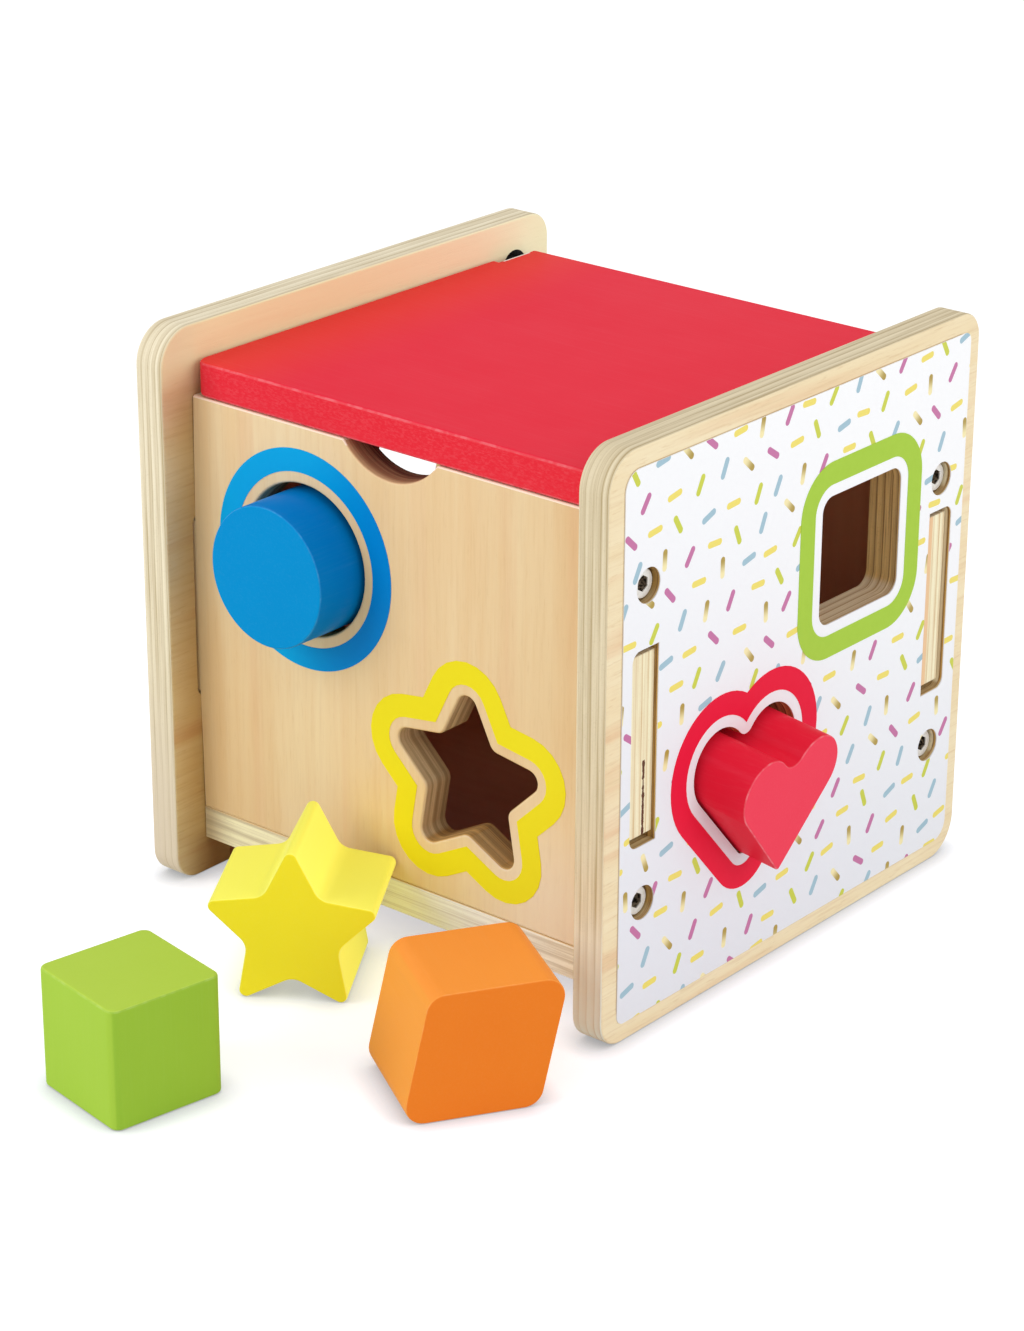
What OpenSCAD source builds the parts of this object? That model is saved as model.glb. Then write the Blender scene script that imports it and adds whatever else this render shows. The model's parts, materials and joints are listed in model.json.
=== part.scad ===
// Wooden shape sorter: a plywood box with a hinged lid, shaped holes in its walls and five painted blocks.
// Origin: centre of the whole set's footprint on the table. +Z is up, +X is the box's right, -Y is its front.

/* [Box] */
// Width of the box over both side panels
box_w = 150; // [140:1:180]
// Depth of the side panels, front to back
box_d = 150; // [140:1:180]
// Height of the side panels
box_h = 150; // [140:1:180]
// Thickness of every plywood panel
ply = 9; // [8.5:0.1:10]
// Radius of the side panels' upper front and lower back corners
corner_r = 10; // [4:0.5:16]
// Radius of the side panels' other two corners
tight_corner_r = 7.4; // [4:0.2:16]
// How far the front and back panels sit inside the edges of the side panels
panel_inset = 10.2; // [9.5:0.1:13]
// Height of the floor panel's underside above the table
floor_lift = 9.8; // [6:0.1:12]
// How far the side panels rise above the closed lid
side_rise = 9; // [7:0.5:12]
// Width of the finger notch in the front panel's top edge
notch_w = 30; // [20:1:40]
// Depth of the finger notch
notch_depth = 7.5; // [5:0.5:10]

/* [Panel joints] */
// Height of the tenon at each end of the front and back panels
tenon_h = 46.5; // [40:0.5:50]
// How far a tenon's end stays below the outer face of its side panel
tenon_recess = 1; // [0.2:0.1:2]
// Gap above and below a tenon in its mortise
mortise_play = 1.9; // [0.5:0.1:3]
// Gap between a tenon and the outer wall of its mortise
mortise_gap = 1; // [0.3:0.1:2]
// Radius of the mortises' corners on the side that the tenons leave open
mortise_r = 2.8; // [2:0.1:4]

/* [Side screws] */
// Diameter of a screw head
head_d = 7; // [6:0.1:8]
// Height of a screw head
head_h = 3; // [2:0.1:3.5]
// Depth of a head's top below the outer face
head_sink = 1.5; // [1:0.1:3]
// Gap around a head in its counterbore
head_play = 0.9; // [0.4:0.1:1.5]
// Diameter of the shank
shank_d = 4; // [3:0.1:4.5]
// Length of the shank under the head
shank_l = 30; // [20:1:36]
// Gap around the shank in the side panel
shank_play = 0.3; // [0.1:0.05:0.5]
// Width across the flats of the hex socket
socket_w = 3.6; // [2.5:0.1:4]
// Depth of the hex socket
socket_depth = 2; // [1:0.1:2.5]
// Distance of the lower screws below the tenons
screw_low_drop = 17.05; // [12:0.05:20]
// Distance of the upper screws above the tenons at the front
screw_front_rise = 17.35; // [10:0.05:20]
// Distance of the upper screws above the tenons at the back
screw_back_rise = 10.25; // [10:0.05:20]

/* [Floor screws] */
// Diameter of a countersunk head
floor_head_d = 7; // [6:0.1:8]
// Height of a countersunk head
floor_head_h = 2.4; // [2:0.1:3]
// Diameter of a floor screw's shank
floor_shank_d = 3.5; // [3:0.1:4]
// Length of a floor screw
floor_screw_l = 18; // [16:1:20]
// Distance of the floor screws from the points of the side screws
floor_screw_gap = 10; // [6:0.5:20]

/* [Lid] */
// Gap between the lid and each side panel
lid_side_gap = 1; // [0.5:0.1:1.5]
// Gap between the closed lid and the top of the front panel
lid_gap = 0.3; // [0.2:0.05:0.5]
// Radius of the lid's front corners
lid_corner_r = 4; // [2:0.5:6]
// Distance from the lid's back edge to the back edges of the side panels
lid_back_inset = 9.5; // [9:0.1:11]
// Length of the recess beside each hinge pin
relief_l = 15; // [12:0.5:20]
// Depth of the recess beside each hinge pin
relief_d = 2; // [1:0.1:3]
// Distance of the hinge axis from the lid's back edge
hinge_back = 4.8; // [4.6:0.1:5.2]
// Radius of the lid's lower back edge
lid_back_r = 4; // [3:0.1:4.4]
// How far the back panel's top is lower than the front panel's
back_drop = 1.3; // [1:0.1:2]
// Diameter of a hinge pin
pin_d = 6; // [5:0.1:6.5]
// Length of a hinge pin inside the lid
pin_in_lid = 10; // [8:0.5:14]
// Length of a hinge pin inside the side panel
pin_in_side = 6; // [5:0.1:6.2]
// Running gap around a hinge pin
pin_play = 0.05; // [0.02:0.01:0.09]
// Gap at a hinge pin's end
pin_end_gap = 0.5; // [0.3:0.1:0.8]
// Diameter of the countersunk mouth of a hinge hole
pin_mouth_d = 9.7; // [8.5:0.1:10.5]

/* [Outlines and sheets] */
// Bare border between a hole and its painted outline
outline_gap = 3; // [2:0.1:4]
// Width of a painted outline
outline_w = 6; // [4:0.1:7]
// Thickness of a painted outline
print_t = 0.1; // [0.08:0.01:0.2]
// Thickness of a printed sheet
sheet_t = 0.25; // [0.2:0.01:0.4]
// Bare border around a printed sheet
sheet_border = 5; // [4:0.1:6]
// How far a printed sheet sits behind the middle of its panel
sheet_shift = 0.7; // [0:0.1:1]
// Corner radius of a printed sheet
sheet_r = 5; // [3:0.5:8]
// Corner radius of the sheets at the top back and the bottom front
sheet_tight_r = 2.5; // [1.5:0.1:5]

/* [Holes] */
// Distance of the circle hole's centre to the left of the middle
circle_x = 28.5; // [27:0.1:30]
// Height of the circle hole's centre
circle_z = 97; // [94:0.1:99]
// Radius of the circle hole
circle_r = 19.75; // [18:0.05:20]
// Distance of the star hole's centre to the right of the middle
star_x = 24.2; // [23:0.1:27]
// Height of the star hole's centre
star_z = 52; // [50:0.1:55]
// Radius of the star hole to its pointed tips, before they are rounded
star_tip = 26.8; // [24:0.1:28]
// Radius of the star's inner corners as a share of its tip radius
star_waist = 0.5; // [0.45:0.01:0.55]
// Rounding of the star hole's tips and inner corners
star_round = 3; // [2.5:0.1:3.5]
// Side of the square hole
square_w = 33.7; // [32:0.1:35]
// Corner radius of the square hole
square_r = 4; // [3:0.1:5]
// Distance of the square hole's centre behind the middle
square_y = 25.2; // [24:0.1:27]
// Height of the square hole's centre
square_z = 100.3; // [98:0.1:103]
// Distance of the heart hole's centre in front of the middle
heart_y = 20.5; // [19:0.1:22]
// Height of the heart hole's lobe centres
heart_z = 59.25; // [57:0.05:60]
// Radius of the heart hole's lobes
heart_lobe = 10.5; // [10:0.1:11]
// Distance of a lobe's centre from the heart's middle
heart_half = 10.1; // [9:0.1:10.2]
// Radius of the dip between the heart hole's lobes
heart_dip = 3; // [1:0.1:3]
// Depth of the heart's rounded point below the lobe centres
heart_drop = 23.65; // [22:0.05:24]
// Radius of the heart hole's point
heart_point = 2.5; // [2:0.1:3]
// Distance of the slanted hole's centre behind the middle
slant_y = 21.5; // [18:0.1:24]
// Height of the slanted hole's centre
slant_z = 91; // [88:0.1:96]
// Corner radius of the slanted hole
slant_round = 6.2; // [5:0.1:8]
// Width of the slanted hole between its corner centres
slant_w = 24.1; // [20:0.1:26]
// Height of the slanted hole between its corner centres
slant_h = 23.2; // [20:0.1:26]
// How far the slanted hole leans over its corner height
slant_lean = 5; // [3:0.1:6]

/* [Blocks] */
// Gap between the cylinder and the wall of its hole
cylinder_play = 1.5; // [1:0.1:2.3]
// Gap between the heart and the wall of its hole
heart_play = 1.6; // [1:0.1:2]
// Gap between the star and the wall of its hole
star_play = 1.3; // [1:0.1:2.3]
// Gap between the cube and the wall of its hole
cube_play = 1.5; // [1:0.1:2.3]
// Gap between the slanted block and the wall of its hole
slant_play = 1.5; // [1:0.1:2.3]
// Length of every block
block_l = 31; // [28:0.5:34]
// How far the cylinder stands out of its hole
cylinder_out = 13.9; // [10:0.1:20]
// How far the heart stands out of its hole, along its own length
heart_out = 14.6; // [8:0.1:16]
// How far the heart's outer end leans down, in degrees
heart_droop = 7.5; // [4:0.5:9]
// Gap left under the cylinder in its hole
cylinder_rest = 0.9; // [0.3:0.05:0.9]
// Gap left under the heart in its hole, at the panel's outer face
heart_rest = 0.3; // [0.25:0.05:0.6]
// Distance of the cube to the right of the box's middle
cube_x = 1.8; // [0:0.1:6]
// Distance of the cube in front of the box's middle
cube_y = 158.3; // [150:0.1:165]
// Turn of the cube on the table
cube_turn = -10.3; // [-20:0.1:0]
// Distance of the star to the left of the box's middle
star_block_x = 7.7; // [4:0.1:14]
// Gap between the star's nearest tip and the front panel
star_block_gap = 0.5; // [0.4:0.1:4]
// Turn of the star on the table
star_turn = 32.3; // [25:0.1:40]
// Distance of the slanted block to the right of the box's middle
slant_block_x = 59.6; // [54:0.1:62]
// Distance of the slanted block in front of the box's middle
slant_block_y = 106.5; // [104:0.1:112]
// Turn of the slanted block on the table
slant_turn = 58.1; // [52:0.1:64]

/* [Hidden] */
$fn = 64;
over = 1;
inner_x = box_w / 2 - ply;
face_y = box_d / 2 - panel_inset;
mid_y = face_y - ply / 2;
panel_z = floor_lift + ply;
lid_z = box_h - side_rise - ply;
front_top = lid_z - lid_gap;
back_top = front_top - back_drop;
tenon_z = box_h / 2;
notch_r = (notch_w * notch_w / 4 + notch_depth * notch_depth) / (2 * notch_depth);
bore_d = head_d + 2 * head_play;
seat_x = box_w / 2 - head_sink - head_h;
screw_low_z = tenon_z - tenon_h / 2 - screw_low_drop;
screw_front_z = tenon_z + tenon_h / 2 + screw_front_rise;
screw_back_z = tenon_z + tenon_h / 2 + screw_back_rise;
floor_screw_x = seat_x - shank_l - floor_screw_gap;
lid_half = inner_x - lid_side_gap;
lid_back = box_d / 2 - lid_back_inset;
hinge_y = lid_back - hinge_back;
hinge_z = lid_z + ply / 2;
relief_x = lid_half - relief_d;
slant_c = [[-slant_w / 2 - slant_lean / 2, -slant_h / 2], [slant_w / 2 - slant_lean / 2, -slant_h / 2],
    [slant_w / 2 + slant_lean / 2, slant_h / 2], [-slant_w / 2 + slant_lean / 2, slant_h / 2]];
tip_half = atan2(star_waist * sin(36), 1 - star_waist * cos(36));
tip_centre = star_tip - star_round / sin(tip_half);
cube_w = square_w - 2 * cube_play;
cube_r = square_r - cube_play;
cube_half = (cube_w / 2 - cube_r) * (cos(cube_turn) + abs(sin(cube_turn))) + cube_r;
star_reach = (tip_centre * cos(18) + star_round - star_play) * sin(star_turn) + block_l / 2 * cos(star_turn);
star_block_y = face_y + star_block_gap + star_reach;
star_rest_z = tip_centre * sin(54) + star_round - star_play;
slant_rest_z = slant_h / 2 + slant_round - slant_play;
set_left = -box_w / 2 - sheet_t - print_t;
heart_depth = heart_drop + heart_point;
heart_sag = heart_depth * cos(heart_droop) - (heart_depth - heart_play) - sheet_t * sin(heart_droop)
    - heart_rest * cos(heart_droop);
set_right = box_w / 2 + heart_out * cos(heart_droop) + (heart_lobe - heart_play - heart_sag) * sin(heart_droop);
set_front = -cube_y - cube_half;
set_back = box_d / 2;
box_x = -(set_left + set_right) / 2;
box_y = -(set_front + set_back) / 2;

// Points on an arc about c, from angle a to angle b.
function arc(c, r, a, b, n = 10) = [for (i = [0:n]) let (t = a + (b - a) * i / n) c + r * [cos(t), sin(t)]];

// Corner of a path rounded to radius r, from the point before it to the point after it.
function turn(p, q, s, r) = let (
    u = (p - q) / norm(p - q), v = (s - q) / norm(s - q),
    half = acos(u * v) / 2, w = (u + v) / norm(u + v),
    c = q + w * r / sin(half),
    a = atan2((q + u * r / tan(half) - c)[1], (q + u * r / tan(half) - c)[0]),
    e = atan2((q + v * r / tan(half) - c)[1], (q + v * r / tan(half) - c)[0]),
    d = e - a > 180 ? e - a - 360 : e - a < -180 ? e - a + 360 : e - a)
    r > 0.01 ? arc(c, r, a, a + d, 8) : [q];

// Star outline of the star hole, moved outwards by g.
function star_points(g) = let (
    k = star_tip + g / sin(tip_half),
    p = [for (i = [0:9]) (i % 2 == 0 ? k : k * star_waist) * [cos(90 + 36 * i), sin(90 + 36 * i)]])
    [for (i = [0:9]) each turn(p[(i + 9) % 10], p[i], p[(i + 1) % 10],
        i % 2 == 0 ? star_round + g : max(0, star_round - g))];

// Heart outline of the heart hole, moved outwards by g. Its dip is round until it is moved out by the dip's radius.
function heart_points(g) = let (
    lobe = heart_lobe + g,
    dip = acos(heart_half / (heart_lobe + max(heart_dip, g))),
    side = atan2(heart_drop, heart_half)
        - acos((heart_point - heart_lobe) / norm([heart_half, heart_drop])))
    concat(arc([heart_half, 0], lobe, 180 - dip, side, 24),
        arc([0, -heart_drop], heart_point + g, side, -180 - side, 12),
        arc([-heart_half, 0], lobe, 180 - side, dip, 24),
        g < heart_dip ? arc([0, (heart_lobe + heart_dip) * sin(dip)], heart_dip - g, 180 + dip, 360 - dip, 10) : []);

// Slanted outline of the slanted hole, moved outwards by g.
function slant_points(g) = let (tilt = atan2(slant_h, slant_lean)) concat(
    arc(slant_c[0], slant_round + g, tilt + 90, 270, 8), arc(slant_c[1], slant_round + g, 270, 270 + tilt, 8),
    arc(slant_c[2], slant_round + g, tilt - 90, 90, 8), arc(slant_c[3], slant_round + g, 90, 90 + tilt, 8));

module rounded_rect(w, h, r) {
    square([w - 2 * r, h], center = true);
    square([w, h - 2 * r], center = true);
    for (x = [-1, 1], y = [-1, 1]) translate([x * (w / 2 - r), y * (h / 2 - r)]) circle(r);
}

// Flat shapes drawn as (y, z) and made t thick from x = x0 towards +X.
module along_x(x0, t) { translate([x0, 0, 0]) rotate([90, 0, 90]) linear_extrude(t) children(); }

// Flat shapes drawn as (x, z) and made t thick from y = y0 towards +Y.
module along_y(y0, t) { translate([0, y0 + t, 0]) rotate([90, 0, 0]) linear_extrude(t) children(); }

module rod_x(x0, x1, y, z, d) {
    translate([min(x0, x1), y, z]) rotate([0, 90, 0]) cylinder(d = d, h = abs(x1 - x0));
}

module in_box() { translate([box_x, box_y, 0]) children(); }

// The four screw places of a side panel, as (y, z).
screw_places = [[-mid_y, screw_low_z], [-mid_y, screw_front_z], [mid_y, screw_low_z], [mid_y, screw_back_z]];

module square_hole(g = 0) { translate([square_y, square_z]) rounded_rect(square_w + 2 * g, square_w + 2 * g, square_r + g); }
module heart_hole(g = 0) { translate([-heart_y, heart_z]) polygon(heart_points(g)); }
module slant_hole(g = 0) { translate([slant_y, slant_z]) polygon(slant_points(g)); }
module circle_hole(g = 0) { translate([-circle_x, circle_z]) circle(circle_r + g); }
module star_hole(g = 0) { translate([star_x, star_z]) polygon(star_points(g)); }

// Mortises for the tenons of the front and back panels.
module mortises() {
    w = ply + mortise_gap;
    h = tenon_h + 2 * mortise_play;
    for (k = [-1, 1]) translate([k * (mid_y + mortise_gap / 2), tenon_z]) {
        translate([-k * mortise_r / 2, 0]) square([w - mortise_r, h], center = true);
        square([w, h - 2 * mortise_r], center = true);
        for (s = [-1, 1]) translate([k * (w / 2 - mortise_r), s * (h / 2 - mortise_r)]) circle(mortise_r);
    }
}

// What is cut off a side panel's corner, or a sheet's inside it, at its front or back (ky) and its bottom or top (kz).
module corner_waste(ky, kz, r, inset = 0) {
    translate([ky * (box_d / 2 - inset - r), box_h / 2 + kz * (box_h / 2 - inset - r)]) difference() {
        translate([ky, kz] * (r + over) / 2) square(r + over, center = true);
        circle(r);
    }
}

// A side panel without its shaped holes. Side 1 is the right one, side -1 the left one.
module side_blank(side) {
    difference() {
        along_x(side > 0 ? inner_x : -box_w / 2, ply) difference() {
            translate([0, box_h / 2]) square([box_d, box_h], center = true);
            for (k = [-1, 1]) {
                corner_waste(k, -k, corner_r);
                corner_waste(k, k, tight_corner_r);
            }
            mortises();
        }
        for (p = screw_places) {
            rod_x(side * seat_x, side * (box_w / 2 + over), p[0], p[1], bore_d);
            rod_x(side * (inner_x - over), side * (box_w / 2), p[0], p[1], shank_d + 2 * shank_play);
        }
        rod_x(side * (inner_x - over), side * (inner_x + pin_in_side + pin_end_gap), hinge_y, hinge_z,
            pin_d + 2 * pin_play);
        translate([side * inner_x, hinge_y, hinge_z]) rotate([0, side * 90, 0])
            cylinder(d1 = pin_mouth_d, d2 = pin_d, h = (pin_mouth_d - pin_d) / 2);
    }
}

module right_side_panel() {
    color([0.87, 0.74, 0.54]) in_box() difference() {
        side_blank(1);
        along_x(inner_x - over, ply + 2 * over) { square_hole(); heart_hole(); }
    }
}

module left_side_panel() {
    color([0.87, 0.74, 0.54]) in_box() difference() {
        side_blank(-1);
        along_x(-box_w / 2 - over, ply + 2 * over) slant_hole();
    }
}

// Outline of the front and back panels with their tenons.
module panel_face(top) {
    translate([-inner_x, panel_z]) square([2 * inner_x, top - panel_z]);
    translate([0, tenon_z]) square([box_w - 2 * tenon_recess, tenon_h], center = true);
}

// Pilot holes for the side screws and the floor screws in the panel at y.
module pilots(y, top_screw) {
    for (side = [-1, 1]) {
        for (z = [screw_low_z, top_screw]) rod_x(side * (seat_x - shank_l), side * (inner_x + over), y, z, shank_d);
        translate([side * floor_screw_x, y, panel_z - over])
            cylinder(d = floor_shank_d, h = floor_screw_l - ply + over);
    }
}

module front_panel() {
    color([0.89, 0.76, 0.57]) in_box() difference() {
        along_y(-face_y, ply) difference() {
            panel_face(front_top);
            circle_hole();
            star_hole();
            translate([0, front_top - notch_depth + notch_r]) circle(notch_r);
        }
        pilots(-mid_y, screw_front_z);
    }
}

module back_panel() {
    color([0.88, 0.75, 0.56]) in_box() difference() {
        along_y(face_y - ply, ply) panel_face(back_top);
        pilots(mid_y, screw_back_z);
    }
}

module floor_screw() {
    difference() {
        union() {
            cylinder(d1 = floor_head_d, d2 = floor_shank_d, h = floor_head_h);
            cylinder(d = floor_shank_d, h = floor_screw_l - floor_shank_d);
            translate([0, 0, floor_screw_l - floor_shank_d])
                cylinder(d1 = floor_shank_d, d2 = floor_shank_d / 5, h = floor_shank_d);
        }
        translate([0, 0, -over]) cylinder(d = socket_w * 0.7, h = over + floor_head_h * 0.6, $fn = 6);
    }
}

module at_floor_screws() {
    for (x = [-1, 1], y = [-1, 1]) translate([x * floor_screw_x, y * mid_y, floor_lift]) children();
}

module floor_panel() {
    color([0.86, 0.73, 0.53]) in_box() difference() {
        translate([-inner_x, -face_y, floor_lift]) cube([2 * inner_x, 2 * face_y, ply]);
        at_floor_screws() {
            cylinder(d1 = floor_head_d, d2 = floor_shank_d, h = floor_head_h);
            translate([0, 0, -over]) cylinder(d = floor_shank_d, h = ply + 2 * over);
        }
    }
}

module floor_screws() { color([0.62, 0.63, 0.65]) in_box() at_floor_screws() floor_screw(); }

// A side screw with its head's top at the origin and its point towards -Z.
module side_screw() {
    difference() {
        union() {
            translate([0, 0, -head_h]) cylinder(d = head_d, h = head_h);
            translate([0, 0, -head_h - shank_l + shank_d]) cylinder(d = shank_d, h = shank_l - shank_d + head_h / 2);
            translate([0, 0, -head_h - shank_l]) cylinder(d1 = shank_d / 5, d2 = shank_d, h = shank_d);
        }
        translate([0, 0, -socket_depth]) cylinder(d = socket_w / cos(30), h = socket_depth + over, $fn = 6);
    }
}

module side_screws(side) {
    for (p = screw_places) translate([side * (box_w / 2 - head_sink), p[0], p[1]]) rotate([0, side * 90, 0]) side_screw();
}

module right_side_screws() { color([0.62, 0.63, 0.65]) in_box() side_screws(1); }
module left_side_screws() { color([0.62, 0.63, 0.65]) in_box() side_screws(-1); }

// Printed sheet of a side panel, open at the mortises and the screws.
module sheet() {
    difference() {
        translate([sheet_shift, 0]) difference() {
            translate([0, box_h / 2]) square([box_d - 2 * sheet_border, box_h - 2 * sheet_border], center = true);
            for (k = [-1, 1]) {
                corner_waste(k, -k, sheet_r, sheet_border);
                corner_waste(k, k, sheet_tight_r, sheet_border);
            }
        }
        mortises();
        for (p = screw_places) translate(p) circle(d = bore_d);
        children();
    }
}

module right_sheet() {
    color([0.93, 0.93, 0.95]) in_box() along_x(box_w / 2, sheet_t) sheet() { square_hole(); heart_hole(); }
}

module left_sheet() {
    color([0.93, 0.93, 0.95]) in_box() along_x(-box_w / 2 - sheet_t, sheet_t) sheet() slant_hole();
}

module circle_outline() {
    color([0.0, 0.58, 0.85]) in_box() along_y(-face_y - print_t, print_t) difference() {
        circle_hole(outline_gap + outline_w);
        circle_hole(outline_gap);
    }
}

module star_outline() {
    color([0.93, 0.86, 0.13]) in_box() along_y(-face_y - print_t, print_t) difference() {
        star_hole(outline_gap + outline_w);
        star_hole(outline_gap);
    }
}

module square_outline() {
    color([0.65, 0.81, 0.25]) in_box() along_x(box_w / 2 + sheet_t, print_t) difference() {
        square_hole(outline_gap + outline_w);
        square_hole(outline_gap);
    }
}

module heart_outline() {
    color([0.91, 0.12, 0.25]) in_box() along_x(box_w / 2 + sheet_t, print_t) difference() {
        heart_hole(outline_gap + outline_w);
        heart_hole(outline_gap);
    }
}

module slant_outline() {
    color([0.94, 0.5, 0.17]) in_box() along_x(-box_w / 2 - sheet_t - print_t, print_t) difference() {
        slant_hole(outline_gap + outline_w);
        slant_hole(outline_gap);
    }
}

// Plan of the lid: rounded front corners and a recess beside each hinge pin.
module lid_plan() {
    translate([-lid_half + lid_corner_r, -face_y]) square([2 * (lid_half - lid_corner_r), lid_corner_r]);
    for (k = [-1, 1]) translate([k * (lid_half - lid_corner_r), -face_y + lid_corner_r]) circle(lid_corner_r);
    translate([-lid_half, -face_y + lid_corner_r]) square([2 * lid_half, lid_back - relief_l + face_y - lid_corner_r]);
    translate([-relief_x, lid_back - relief_l]) square([2 * relief_x, relief_l]);
}

module lid() {
    color([0.86, 0.24, 0.29]) in_box() difference() {
        translate([0, 0, lid_z]) linear_extrude(ply) lid_plan();
        difference() {
            translate([-lid_half - over, lid_back - lid_back_r, lid_z - over])
                cube([2 * (lid_half + over), lid_back_r + over, lid_back_r + over]);
            rod_x(-lid_half - 2 * over, lid_half + 2 * over, lid_back - lid_back_r, lid_z + lid_back_r, 2 * lid_back_r);
        }
        for (k = [-1, 1]) rod_x(k * (relief_x - pin_in_lid), k * (relief_x + over), hinge_y, hinge_z, pin_d);
    }
}

module hinge_pin(side) { rod_x(side * (relief_x - pin_in_lid), side * (inner_x + pin_in_side), hinge_y, hinge_z, pin_d); }

module right_hinge_pin() { color([0.35, 0.35, 0.37]) in_box() hinge_pin(1); }
module left_hinge_pin() { color([0.35, 0.35, 0.37]) in_box() hinge_pin(-1); }

module blue_cylinder() {
    color([0.0, 0.58, 0.85]) in_box() along_y(-face_y - cylinder_out, block_l)
        translate([0, cylinder_rest - cylinder_play]) circle_hole(-cylinder_play);
}

module red_heart() {
    color([0.9, 0.2, 0.3]) in_box() translate([box_w / 2, 0, heart_z]) rotate([0, heart_droop, 0])
        along_x(heart_out - block_l, block_l) translate([0, -heart_sag - heart_z]) heart_hole(-heart_play);
}

module yellow_star() {
    color([0.94, 0.87, 0.2]) in_box() translate([-star_block_x, -star_block_y, star_rest_z]) rotate([0, 0, star_turn])
        along_y(-block_l / 2, block_l) polygon(star_points(-star_play));
}

module green_cube() {
    color([0.64, 0.8, 0.25]) in_box() translate([cube_x, -cube_y, 0]) rotate([0, 0, cube_turn])
        linear_extrude(block_l) rounded_rect(cube_w, cube_w, cube_r);
}

module orange_block() {
    color([0.94, 0.52, 0.18]) in_box() translate([slant_block_x, -slant_block_y, slant_rest_z])
        rotate([0, 0, slant_turn]) along_y(-block_l / 2, block_l) polygon(slant_points(-slant_play));
}

left_side_panel();
right_side_panel();
front_panel();
back_panel();
floor_panel();
left_sheet();
right_sheet();
circle_outline();
star_outline();
square_outline();
heart_outline();
slant_outline();
left_side_screws();
right_side_screws();
floor_screws();
lid();
left_hinge_pin();
right_hinge_pin();
blue_cylinder();
red_heart();
yellow_star();
green_cube();
orange_block();
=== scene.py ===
"""Looks of a wooden shape sorter: a plywood box with a red lid, printed sheets and five painted blocks."""
import json
import math

import bmesh
import bpy
from mathutils import Matrix, Vector


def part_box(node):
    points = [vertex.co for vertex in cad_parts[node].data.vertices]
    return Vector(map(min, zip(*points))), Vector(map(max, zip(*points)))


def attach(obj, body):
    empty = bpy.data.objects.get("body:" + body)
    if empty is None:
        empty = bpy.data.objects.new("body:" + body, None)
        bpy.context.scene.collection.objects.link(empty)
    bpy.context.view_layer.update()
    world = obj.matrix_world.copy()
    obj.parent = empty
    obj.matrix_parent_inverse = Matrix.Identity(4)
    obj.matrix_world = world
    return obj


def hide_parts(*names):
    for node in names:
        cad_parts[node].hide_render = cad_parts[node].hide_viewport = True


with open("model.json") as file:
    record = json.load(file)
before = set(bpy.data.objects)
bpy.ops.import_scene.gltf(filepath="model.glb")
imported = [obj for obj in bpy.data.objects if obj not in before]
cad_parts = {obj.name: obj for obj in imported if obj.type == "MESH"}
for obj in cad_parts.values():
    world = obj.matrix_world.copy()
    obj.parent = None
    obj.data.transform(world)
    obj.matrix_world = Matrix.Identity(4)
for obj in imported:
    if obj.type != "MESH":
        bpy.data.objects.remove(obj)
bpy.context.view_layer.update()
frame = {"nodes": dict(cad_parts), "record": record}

# Sizes in millimetres, in the box's own frame: its middle on the table, +X right, -Y front.
MM = 0.001
left_low, left_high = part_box("left_side_panel")
right_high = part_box("right_side_panel")[1]
BOX_MIDDLE = Vector(((left_low.x + right_high.x) / 2, (left_low.y + left_high.y) / 2, 0))
BOX_W = (right_high.x - left_low.x) / MM
HALF_D = (left_high.y - left_low.y) / MM / 2
BOX_H = left_high.z / MM
PLY = (left_high.x - left_low.x) / MM
ACROSS_X, ACROSS_Y, ACROSS_Z = 0, 1, 2

# Turns of the loose blocks on the table, in degrees.
BLOCK_TURN = {"yellow_star": 32.3, "green_cube": -10.3, "orange_block": 58.1}

# The photograph's camera: place in metres from the box's middle, turns in degrees.
CAMERA_PLACE = BOX_MIDDLE + Vector((0.54432, -0.67159, 0.41902))
CAMERA_YAW, CAMERA_PITCH, CAMERA_ROLL = -39.82, -22.79, -0.27
CAMERA_LENS, SENSOR = 97.866, 36.0

# Sockets of a Mix node for colours, and what a step of the seed adds to a place in the noise.
MIX_SHARE, MIX_FIRST, MIX_SECOND, MIX_RESULT = 0, 6, 7, 2
SEED_STEP = (7.31, 3.17, 5.53)


def shade(code):
    """A colour code as the linear red, green, blue and alpha that sockets take."""
    parts = [int(code[i:i + 2], 16) / 255 for i in (1, 3, 5)]
    return tuple(c / 12.92 if c <= 0.04045 else ((c + 0.055) / 1.055) ** 2.4 for c in parts) + (1.0,)


def local_box(node):
    """Lowest and highest corner of a node in the box's own frame, in millimetres."""
    low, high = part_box(node)
    return (low - BOX_MIDDLE) / MM, (high - BOX_MIDDLE) / MM


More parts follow.
